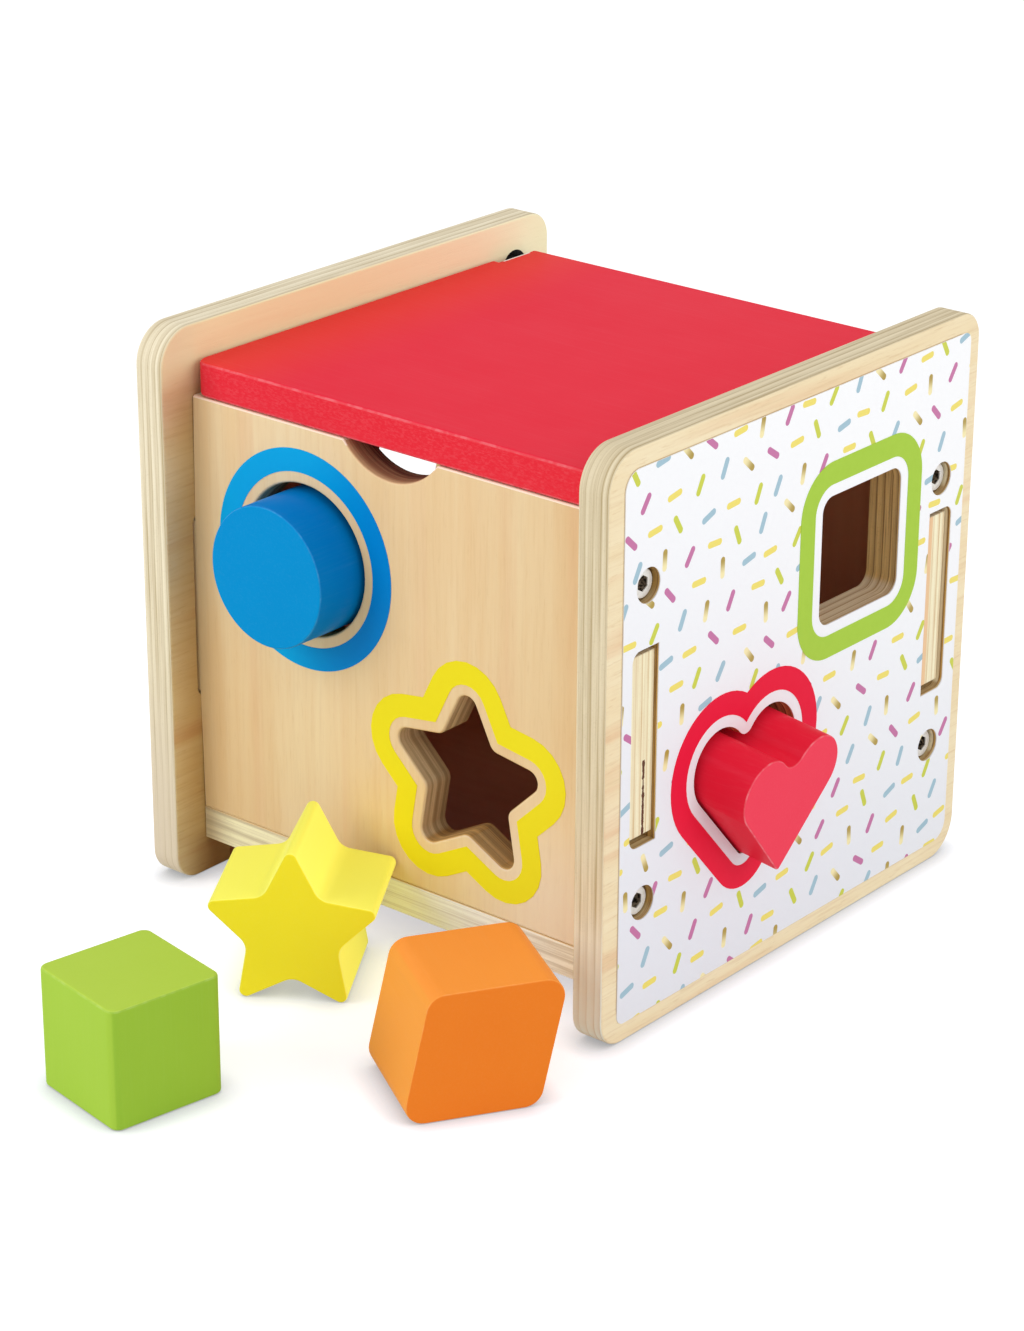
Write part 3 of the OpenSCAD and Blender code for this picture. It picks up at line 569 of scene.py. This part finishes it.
def print_band(name, node, colour, deep, seed):
    """A printed outline: flat ink with a faint mottle, deeper in colour towards its right."""
    f = Finish(name)
    low, high = local_box(node)
    up = f.place[2] - (low.z + high.z) / 2
    aside = f.place[0] - (low.x + high.x) / 2 - DEEPEN_LEAN * up
    ink = f.mix(f.rise(aside, *DEEPEN_ZONE), shade(colour), shade(deep))
    mottle = f.noise((0.5, 0.5, 0.5), seed, detail=4)
    mixed = f.tint(f.rise(mottle, 0.35, 0.8) * MOTTLE_SHARE, ink, ink)
    film = f.noise((1.5, 1.5, 1.5), seed + 1)
    return f.done(mixed, 0.38 + 0.12 * mottle, film, depth=INK_DEPTH, Specular_IOR_Level=INK_SHEEN)


# Printed sheets
SHEET_WHITE, SHEET_SHADE, SHEET_GREY = shade("#FBFCFE"), shade("#E7E9F1"), shade("#DCDDE6")
FIBRE_SHARE, FIBRE_DEPTH = 0.05, 0.015
# Painted shade of the sheet, darkest low at the front: where it fades to white with the height, in
# millimetres, and how far that leans towards the back.
SHEET_SHADE_ZONE, SHEET_SHADE_LEAN = (-30, 160), 0.4
CELL_WIDE, CELL_HIGH = 9.6, 8.2
ROW_SHIFT, JITTER = 0.37, 0.26
NEXT_COLUMN, NEXT_ROW, NEXT_SEED = 0.618, 0.29, 0.37
DASH_HALF, DASH_RADIUS, DASH_SWING = 1.9, 0.84, math.radians(14)
INK_EDGE = 0.07
# Where the dashes end inside a painted outline, in millimetres from its rim, and the radius of its corners.
CLEAR_ZONE, BAND_CORNER = (-1.2, -1.0), 12.0
GOLD_PALE, GOLD_DEEP = shade("#F7EAB2"), shade("#B0953A")
# Share of the dashes, their colour and their slant in degrees. The last two are of gold foil.
DASHES = ((0.26, "#F1DF68", 4), (0.10, "#9FC1D1", 62), (0.09, "#9FC1D1", 14), (0.10, "#C56EA2", 58),
          (0.08, "#C56EA2", -40), (0.09, "#CBD23F", 60), (0.08, "#CBD23F", -62), (0.12, "#E0C878", 86),
          (0.08, "#E0C878", -47))
FOIL_SHARE = 0.20
# Half the distance between the heart's lobes, and how far its point lies below them.
HEART_HALF, HEART_DROP = 10.1, 23.65
# Sideways slope of the slanted hole.
SLANT_SLOPE = 5.0 / 23.2


def dashes(f, seed):
    """Colour and ink mask of small scattered dashes, one in each cell of a brick-like grid."""
    _, y, z = f.place
    v = z / CELL_HIGH
    row = v.math("FLOOR", v)
    u = y / CELL_WIDE + row * ROW_SHIFT
    column = u.math("FLOOR", u)
    cell = f.wire.node("CombineXYZ", {}, {0: column, 1: row, 2: float(seed)})
    chance = f.wire.node("TexWhiteNoise", {}, {"Vector": cell}, "Color")
    right, over, lean = f.wire.node("SeparateColor", {}, {0: chance}, ("Red", "Green", "Blue"))
    turn = column * NEXT_COLUMN + row * NEXT_ROW + seed * NEXT_SEED
    draw = turn.math("FRACT", turn)
    starts = [sum(share for share, _, _ in DASHES[:i]) for i in range(len(DASHES))]
    slants = [(start, grey((slant + 90) / 180)) for start, (_, _, slant) in zip(starts, DASHES)]
    inks = [(start, shade(code)) for start, (_, code, _) in zip(starts, DASHES)]
    slant = f.ramp(draw, slants, steps=True) * math.pi - math.pi / 2
    angle = slant + (lean - 0.5) * DASH_SWING
    du = (u - column - 0.5 - (right - 0.5) * JITTER) * CELL_WIDE
    dv = (v - row - 0.5 - (over - 0.5) * JITTER) * CELL_HIGH
    cosine, sine = angle.math("COSINE", angle), angle.math("SINE", angle)
    along, aside = du * cosine + dv * sine, dv * cosine - du * sine
    past = along.math("MAXIMUM", abs(along) - DASH_HALF, 0.0)
    gap = past.math("SQRT", past * past + aside * aside) - DASH_RADIUS
    foil = f.mix(f.rise(along, -DASH_HALF, DASH_HALF), GOLD_PALE, GOLD_DEEP)
    colour = f.mix(draw > 1 - FOIL_SHARE, f.ramp(draw, inks, steps=True), foil)
    return colour, 1 - f.rise(gap, -INK_EDGE, INK_EDGE)


def outside_frame(f, node, radius, slope):
    """Distance in millimetres outside a round-cornered outline whose sides lean by a slope."""
    low, high = local_box(node)
    half_z = (high.z - low.z) / 2
    half_y = (high.y - low.y) / 2 - slope * (half_z - radius)
    up = f.place[2] - (low.z + high.z) / 2
    aside = f.place[1] - (low.y + high.y) / 2 - up * slope
    past_y = aside.math("MAXIMUM", abs(aside) - half_y + radius, 0.0)
    past_z = up.math("MAXIMUM", abs(up) - half_z + radius, 0.0)
    return up.math("SQRT", past_y * past_y + past_z * past_z) - radius


def outside_heart(f, node):
    """Distance in millimetres outside a heart: a bar on each side tapers from a lobe to the point."""
    low, high = local_box(node)
    lobe = (high.y - low.y) / 2 - HEART_HALF
    lobe_z = high.z - lobe
    point = lobe_z - HEART_DROP - low.z
    aside = abs(f.place[1] - (low.y + high.y) / 2)
    up = f.place[2] - lobe_z
    along = ((HEART_HALF - aside) * HEART_HALF - up * HEART_DROP) / (HEART_HALF ** 2 + HEART_DROP ** 2)
    along = along.math("MINIMUM", along.math("MAXIMUM", along, 0.0), 1.0)
    off_y = aside - (1 - along) * HEART_HALF
    off_z = up + along * HEART_DROP
    return up.math("SQRT", off_y * off_y + off_z * off_z) - lobe - along * (point - lobe)


def printed_sheet(name, seed, frames, hearts=()):
    """White laminated paper with scattered dashes, kept clear of the space inside the painted outlines."""
    f = Finish(name)
    ink, mask = dashes(f, seed)
    clear = [outside_frame(f, *outline) for outline in frames]
    clear += [outside_heart(f, outline) for outline in hearts]
    for distance in clear:
        mask = mask * f.rise(distance, *CLEAR_ZONE)
    face = f.rise(abs(f.facing[0]), *FACE_TURN)
    fibre = f.noise((0.9, 0.9, 0.9), seed + 1, detail=3)
    # Painted shade, darkest low at the front, fading to white higher up.
    height = f.place[2] + f.place[1] * SHEET_SHADE_LEAN
    white = f.mix(f.rise(height, *SHEET_SHADE_ZONE), SHEET_SHADE, SHEET_WHITE)
    white = f.mix(f.rise(fibre, 0.4, 0.8) * FIBRE_SHARE, white, SHEET_GREY)
    return f.done(f.mix(mask * face, white, ink), 0.34 + 0.12 * fibre, fibre, depth=FIBRE_DEPTH)


# Steel
ZINC_PALE, ZINC_TARNISH, TARNISH_SHARE, ZINC_METAL = shade("#EDEBE6"), shade("#A9A08C"), 0.3, 0.4
SOCKET_SHADE, SOCKET_GRIME = shade("#2E261D"), shade("#A3937E")
# Depth below a screw's head, in millimetres, where the painted shade of its socket sets in.
SOCKET_ZONE = (0.15, 0.4)
# Near-black pins, as painted shade in the hinge holes.
PIN_DARK, PIN_PALE = shade("#1E1B18"), shade("#3A3530")
# Noise cells per millimetre and depth of the marks that turning leaves.
TURNED, TURNED_DEPTH = (0.4, 3.0, 3.0), 0.02


def steel(name, seed, axis, head, inward):
    """Zinc-plated steel with fine turning marks and a little tarnish, with painted shade in the screws'
    sockets.
    """
    f = Finish(name)
    marks = f.noise(TURNED, seed, detail=4)
    tarnish = f.rise(f.noise((0.6, 0.6, 0.6), seed + 1, detail=3), 0.45, 0.75)
    colour = f.mix(tarnish * TARNISH_SHARE, ZINC_PALE, ZINC_TARNISH)
    grime = f.rise(f.noise((0.9, 0.9, 0.9), seed + 2, detail=2), 0.42, 0.62)
    # Painted shade in the socket, mixed with grime.
    socket = f.rise((f.place[axis] - head) * inward, *SOCKET_ZONE)
    colour = f.mix(socket, colour, f.mix(grime, SOCKET_SHADE, SOCKET_GRIME))
    rough = 0.30 + 0.18 * marks + 0.15 * tarnish
    return f.done(colour, rough, marks, depth=TURNED_DEPTH, Metallic=ZINC_METAL)


def pin_finish(name, seed):
    """Steel, near-black as painted shade in its hinge hole, with fine turning marks."""
    f = Finish(name)
    marks = f.noise(TURNED, seed, detail=4)
    return f.done(f.mix(marks, PIN_DARK, PIN_PALE), 0.45 + 0.2 * marks, marks, depth=TURNED_DEPTH)


# Pieces
WELD, FLAT, SHARP = 1e-6, math.radians(0.3), math.radians(40)
# Radii of the eased edges, in millimetres.
SIDE_EASE, TOP_EASE, END_EASE, SEAM_EASE, HOLE_EASE, FLOOR_EASE = 0.6, 0.5, 0.3, 0.7, 0.7, 0.6
LID_EASE, PIN_EASE, EASE_STEPS = 0.9, 0.3, 3
# Which edges of the cross panels are eased: how near they are to a face, a tenon's end or the top.
FACE_NEAR, SEAM_NEAR, FLOOR_NEAR, END_NEAR, TOP_NEAR, HOLES_INSET = 0.2, 0.5, 1, 2, 10, 4
# The recess beside each hinge pin: its distance from the lid's middle and its two ends.
RECESS_X, RECESS_Y = 63.0, (51.3, 62.5)
# Width of that pale strip, bare wood with a painted highlight, and the least upward facing it takes.
BARE_LIT_WIDTH, BARE_LIT_FACING = 1.2, 0.1
CUBE_CORNER, CUBE_SIZE = 1.5, local_box("green_cube")[1].z
bodies = frame["record"]["behaviour"]["bodies"]
body_of = {node: body for body, members in bodies.items() for node in members}


def home(node):
    """Where a piece has its own origin: the box's middle, or a loose block's."""
    if node not in BLOCK_TURN:
        return Matrix.Translation(BOX_MIDDLE)
    low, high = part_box(node)
    return Matrix.Translation(((low.x + high.x) / 2, (low.y + high.y) / 2, 0))


def made_from(node, material, eases=()):
    """A piece that stands for a CAD node.

    Eases are pairs of a radius in millimetres and a test of an edge's middle.
    """
    place = home(node)
    form = bmesh.new()
    form.from_mesh(frame["nodes"][node].data)
    form.transform(place.inverted())
    bmesh.ops.remove_doubles(form, verts=form.verts, dist=WELD)
    bmesh.ops.dissolve_limit(form, angle_limit=FLAT, verts=form.verts, edges=form.edges)
    for radius, picked in eases:
        rim = [e for e in form.edges if e.calc_face_angle(0) > SHARP
               and picked((e.verts[0].co + e.verts[1].co) / 2 / MM)]
        bmesh.ops.bevel(form, geom=rim, offset=radius * MM, offset_type="OFFSET", segments=EASE_STEPS,
                        profile=0.5, affect="EDGES", clamp_overlap=True)
    for face in form.faces:
        face.smooth = True
    for edge in form.edges:
        edge.smooth = edge.calc_face_angle(0) < SHARP
    mesh = bpy.data.meshes.new(node + "_finished")
    form.to_mesh(mesh)
    form.free()
    if "custom_normal" in mesh.attributes:
        mesh.attributes.remove(mesh.attributes["custom_normal"])
    mesh.materials.clear()
    mesh.materials.append(material)
    piece = bpy.data.objects.new(node + "_finished", mesh)
    piece.matrix_world = place
    bpy.context.scene.collection.objects.link(piece)
    weigh = piece.modifiers.new("even_faces", "WEIGHTED_NORMAL")
    weigh.keep_sharp = True
    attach(piece, body_of[node])
    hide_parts(node)
    return piece


def anywhere(_):
    return True


def on_side_outline(middle):
    """An edge on the outer outline of a side panel, not in one of its cuts."""
    return abs(middle.y) > HALF_D - RIM or middle.z < RIM or middle.z > BOX_H - RIM


def side_panels():
    left = side_wood("left_side_panel", "left_sheet", 1, 1, LEFT_EDGE_TINT, LEFT_FOOT)
    right = side_wood("right_side_panel", "right_sheet", 2, -1, RIGHT_EDGE_TINT, RIGHT_FOOT)
    made_from("left_side_panel", left, [(SIDE_EASE, on_side_outline)])
    made_from("right_side_panel", right, [(SIDE_EASE, on_side_outline)])


def cross_panels():
    """The front and back panels between the side panels, and the floor."""
    low, high = local_box("front_panel")

    def top(middle):
        """An edge at the top, or in the finger notch."""
        return middle.z > high.z - TOP_NEAR

    def tenon_end(middle):
        return abs(middle.x) > BOX_W / 2 - END_NEAR

    def seam(middle):
        """An edge of the outer face along a side panel or the floor."""
        outside = abs(abs(middle.y) + FRONT_FACE) < SEAM_NEAR
        return outside and (abs(abs(middle.x) - INNER_X) < SEAM_NEAR or middle.z < low.z + SEAM_NEAR)

    def hole_rim(middle):
        """An edge of the outer face round the circle or star hole."""
        between = abs(middle.x) < INNER_X - HOLES_INSET
        inside = between and low.z + HOLES_INSET < middle.z < high.z - TOP_NEAR
        return inside and abs(middle.y - FRONT_FACE) < FACE_NEAR

    def floor_edge(middle):
        return abs(middle.y) > abs(FRONT_FACE) - FLOOR_NEAR

    eases = [(TOP_EASE, top), (END_EASE, tenon_end), (SEAM_EASE, seam)]
    front = cross_wood("front_panel", 3, 1, FRONT_END, void_top=71)
    made_from("front_panel", front, eases + [(HOLE_EASE, hole_rim)])
    back = cross_wood("back_panel", 4, -1, BACK_END, blush_to=3.6)
    made_from("back_panel", back, eases)
    made_from("floor_panel", floor_wood("floor_panel", 5), [(FLOOR_EASE, floor_edge)])


def sheets_and_bands():
    slant, square = ("slant_outline", BAND_CORNER, SLANT_SLOPE), ("square_outline", BAND_CORNER, 0.0)
    left = printed_sheet("left_sheet_print", 11, [slant])
    right = printed_sheet("right_sheet_print", 12, [square], ["heart_outline"])
    made_from("left_sheet", left)
    made_from("right_sheet", right)
    # Outline colours, then towards the right; the blue darkens there, a painted shadow of the cylinder.
    bands = (("circle", "blue_paint", "#00A4E0", "#0082D0"), ("star", "yellow_paint", "#EFE022", "#F1E528"),
             ("square", "green_paint", "#ABCF4A", "#ABCF4A"), ("heart", "red_paint", "#EA1F40", "#EA1F40"),
             ("slant", "orange_paint", "#F08430", "#F08430"))
    for seed, (shape, slot, colour, deep) in enumerate(bands):
        node = shape + "_outline"
        made_from(node, print_band(shape + "_band_ink", node, colour, deep, 20 + seed))


def lid_and_pins():
    """The red lid, with a warm painted reflection of the left panel beside it, and its two hinge pins."""
    f = Finish("lid_red_paint")
    x = f.place[0]
    recess = (abs(x) > RECESS_X - BARE_LIT_WIDTH) * f.within(ACROSS_Y, *RECESS_Y) * (f.facing[2] > BARE_LIT_FACING)
    red = paint(f, ("#E73442", "#E62D3B", "#EA273E"), "#F7A3A9", ACROSS_Z, ACROSS_X, 31, wear_and_highlight=0.35,
                sheen=LID_SHEEN, end_grain=0.09, rim=("#EE3A36", (-64, -30)), bare_lit=recess)
    made_from("lid", red, [(LID_EASE, anywhere)])
    for seed, node in ((32, "left_hinge_pin"), (33, "right_hinge_pin")):
        made_from(node, pin_finish(node + "_steel", seed), [(PIN_EASE, anywhere)])


def screws():
    for node, axis, inward in (("left_side_screws", ACROSS_X, 1), ("right_side_screws", ACROSS_X, -1),
                               ("floor_screws", ACROSS_Z, 1)):
        ends = local_box(node)
        head = ends[0 if inward > 0 else 1][axis]
        made_from(node, steel(node + "_plating", 41, axis, head, inward))


def upright(middle):
    """An edge between the bottom and the top of the cube."""
    return CUBE_CORNER * 2 < middle.z < CUBE_SIZE - CUBE_CORNER * 2


def blocks():
    """The five painted blocks."""
    # Each block's paint, with its faces across X, Y and Z in shades of painted light, the colour of its
    # edges where the paint is worn and takes a painted highlight, and the axis of its caps, then the radius
    # of its edges, how worn and lit they are and how strong its light is.
    coats = (
        ("blue_cylinder", "blue_paint", ("#0080D0", "#008ED0", "#0080D0"), "#8AD2F2", ACROSS_Y,
         0.5, 0.16, 0.0),
        ("red_heart", "red_paint", ("#F2435A", "#ED223C", "#ED223C"), "#FAB0B6", ACROSS_X,
         0.5, 0.4, 0.0),
        ("yellow_star", "yellow_paint", ("#F9F66C", "#EFE02E", "#F8F466"), "#FCF8A8", ACROSS_Y,
         0.5, 0.15, 0.36),
        ("green_cube", "green_paint", ("#99C13D", "#A8CC46", "#B5D34C"), "#CFE58E", ACROSS_Z,
         0.8, 0.25, 0.0),
        ("orange_block", "orange_paint", ("#F69F40", "#EF8229", "#FB9B40"), "#FBC78E", ACROSS_Y,
         0.5, 0.15, 0.0))
    for seed, (node, slot, lit_shades, edge_colour, across, radius, wear_and_highlight, glow) in enumerate(coats):
        f = Finish(node + "_paint", BLOCK_TURN.get(node, 0.0))
        coat = paint(f, lit_shades, edge_colour, across, across, 50 + 5 * seed, wear_and_highlight=wear_and_highlight, glow=glow)
        eases = [(CUBE_CORNER, upright)] if node == "green_cube" else []
        made_from(node, coat, eases + [(radius, anywhere)])


# Scene
WHITE, FILL = grey(1.0), 0.70
# Places of the lamps in metres, their watts, their size and the point that they face.
KEY_PLACE, KEY_WATTS = (-0.8, -1.2, 0.8), 10.3
SIDE_PLACE, SIDE_WATTS = (1.35, 0.1, 0.75), 6.3
LAMP_SIZE, LAMP_AIM = 1.0, Vector((0, 0, 0.06))
# The floor lies a hair below the pieces, so that no face of theirs is in it.
FLOOR_SIZE, FLOOR_DROP, FLOOR_GREY, FLOOR_WHITE = 6.0, 0.0001, 0.86, 1.1
# Distance in metres from the middle where the floor begins to fade to white, and where it is white.
FADE_START, FADE_END = 0.15, 0.4
# Share, strength and colour of the glow that the camera sees on the floor beside the box. It is a little
# cool, against the warm light that the blocks throw on the floor.
NEAR_SHARE, NEAR_GLOW, NEAR_COOL = 0.1, 5.6, (0.88, 0.91, 1.0, 1.0)
# Reach in metres of the grey shadow where a piece stands on the floor, its share and how grey it is.
CONTACT_REACH, CONTACT_SHARE, CONTACT_GREY = 0.007, 1.0, 0.36


def seen_directly(wire):
    """1 for what the camera sees, straight or in gloss and glass, else 0."""
    rays = wire.node("LightPath", {}, {}, ("Is Camera Ray", "Is Glossy Ray", "Is Transmission Ray"))
    total = rays[0] + rays[1] + rays[2]
    return total.math("MINIMUM", total, 1.0)


def white_room():
    world = bpy.data.worlds.new("white_room")
    bpy.context.scene.world = world
    world.use_nodes = True
    wire = Wire(world.node_tree)
    strength = FILL + (1 - FILL) * seen_directly(wire)
    background = next(n for n in world.node_tree.nodes if n.type == "BACKGROUND")
    background.inputs["Color"].default_value = WHITE
    world.node_tree.links.new(strength.socket, background.inputs["Strength"])


def white_floor():
    """A matte floor that fades to white away from the box, and that a camera below it sees through."""
    half = FLOOR_SIZE / 2
    mesh = bpy.data.meshes.new("floor")
    corners = [(x * half, y * half, -FLOOR_DROP) for x, y in ((-1, -1), (1, -1), (1, 1), (-1, 1))]
    mesh.from_pydata(corners, [], [range(4)])
    floor = bpy.data.objects.new("floor", mesh)
    bpy.context.scene.collection.objects.link(floor)
    material = bpy.data.materials.new("white_floor")
    material.use_nodes = True
    tree = material.node_tree
    tree.nodes.clear()
    wire = Wire(tree)
    matte = wire.node("BsdfDiffuse", {}, {"Color": grey(FLOOR_GREY)})
    bright = wire.node("Emission", {}, {"Color": NEAR_COOL, "Strength": NEAR_GLOW})
    camera_ray = wire.node("LightPath", {}, {}, "Is Camera Ray")
    near = wire.node("MixShader", {}, {0: camera_ray * NEAR_SHARE, 1: matte, 2: bright})
    open_sky = wire.node("AmbientOcclusion", {}, {"Distance": CONTACT_REACH}, "AO")
    dim = wire.node("Emission", {}, {"Color": grey(CONTACT_GREY)})
    contact = camera_ray * (1 - open_sky) * CONTACT_SHARE
    near = wire.node("MixShader", {}, {0: contact, 1: near, 2: dim})
    white = wire.node("Emission", {}, {"Color": WHITE, "Strength": FLOOR_WHITE})
    spot = wire.node("TexCoord", {}, {}, "Object")
    away = wire.node("VectorMath", {"operation": "LENGTH"}, {0: spot}, "Value")
    far = wire.node("MapRange", {"interpolation_type": "SMOOTHSTEP"},
                    {"Value": away, "From Min": FADE_START, "From Max": FADE_END})
    both = wire.node("MixShader", {}, {0: seen_directly(wire) * far, 1: near, 2: white})
    from_below = wire.node("NewGeometry", {}, {}, "Backfacing")
    clear = wire.node("BsdfTransparent", {}, {})
    shown = wire.node("MixShader", {}, {0: camera_ray * from_below, 1: both, 2: clear})
    wire.node("OutputMaterial", {}, {"Surface": shown}, ())
    mesh.materials.append(material)


def lamp(name, place, watts):
    """A soft square lamp that faces the box."""
    data = bpy.data.lights.new(name, "AREA")
    data.shape, data.size, data.energy = "SQUARE", LAMP_SIZE, watts
    light = bpy.data.objects.new(name, data)
    light.location = place
    light.rotation_euler = (LAMP_AIM - light.location).to_track_quat("-Z", "Y").to_euler()
    bpy.context.scene.collection.objects.link(light)


def camera():
    yaw, pitch, roll = (math.radians(a) for a in (CAMERA_YAW, CAMERA_PITCH, CAMERA_ROLL))
    forward = Vector((math.sin(yaw) * math.cos(pitch), math.cos(yaw) * math.cos(pitch), math.sin(pitch)))
    level = Vector((math.cos(yaw), -math.sin(yaw), 0))
    down = forward.cross(level)
    right = level * math.cos(roll) + down * math.sin(roll)
    up = level * math.sin(roll) - down * math.cos(roll)
    data = bpy.data.cameras.new("camera")
    data.lens, data.sensor_width = CAMERA_LENS, SENSOR
    view = bpy.data.objects.new("camera", data)
    turn = Matrix((right, up, -forward)).transposed().to_4x4()
    view.matrix_world = Matrix.Translation(CAMERA_PLACE) @ turn
    bpy.context.scene.collection.objects.link(view)
    bpy.context.scene.camera = view


bpy.context.scene.view_settings.view_transform = "Standard"
camera()
white_room()
white_floor()
lamp("key_lamp", KEY_PLACE, KEY_WATTS)
lamp("side_lamp", SIDE_PLACE, SIDE_WATTS)
side_panels()
cross_panels()
sheets_and_bands()
lid_and_pins()
screws()
blocks()
